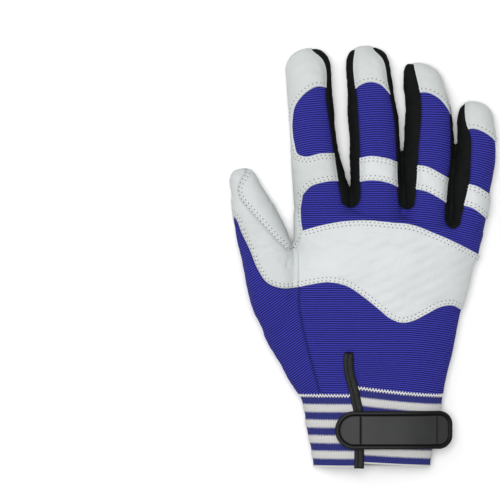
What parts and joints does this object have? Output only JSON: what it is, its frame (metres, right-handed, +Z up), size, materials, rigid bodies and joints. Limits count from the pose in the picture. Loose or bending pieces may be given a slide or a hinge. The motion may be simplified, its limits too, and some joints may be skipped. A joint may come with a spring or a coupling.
{
  "type": "mechanic glove",
  "caption": "Right-hand work glove lying palm down, with leather palm and knuckle patch, ribbed knit back, striped knit cuff and a closure tab over the wrist slit.",
  "frame": {"origin": "bottom centre of the bounding box, on the surface that the glove lies on", "axes": "+Y to the fingertips, -X to the thumb, +Z up from the palm to the back"},
  "size_m": [0.1596, 0.2538, 0.0273],
  "materials": {
    "leather": "soft white grain leather, matte",
    "back_knit": "blue ribbed knit",
    "gusset_knit": "blue ribbed knit, ribs slanting",
    "side_strip": "black stretch fabric",
    "cuff_knit": "elastic knit striped blue and white",
    "tape": "black binding tape",
    "tab_rubber": "soft moulded rubber, satin"
  },
  "bodies": {
    "root": {"palm_leather": "leather", "back_knit": "back_knit", "thumb_gusset": "gusset_knit", "thumb_back": "leather", "index_leather": "leather", "knuckle_patch": "leather", "middle_cap": "leather", "middle_band": "leather", "ring_cap": "leather", "ring_band": "leather", "little_cap": "leather", "little_band": "leather", "fourchette_index_middle": "side_strip", "fourchette_middle_ring": "side_strip", "fourchette_ring_little": "side_strip", "wrist_cuff": "cuff_knit", "binding_left": "tape", "binding_right": "tape", "wrist_tab": "tab_rubber"}
  },
  "joints": []
}
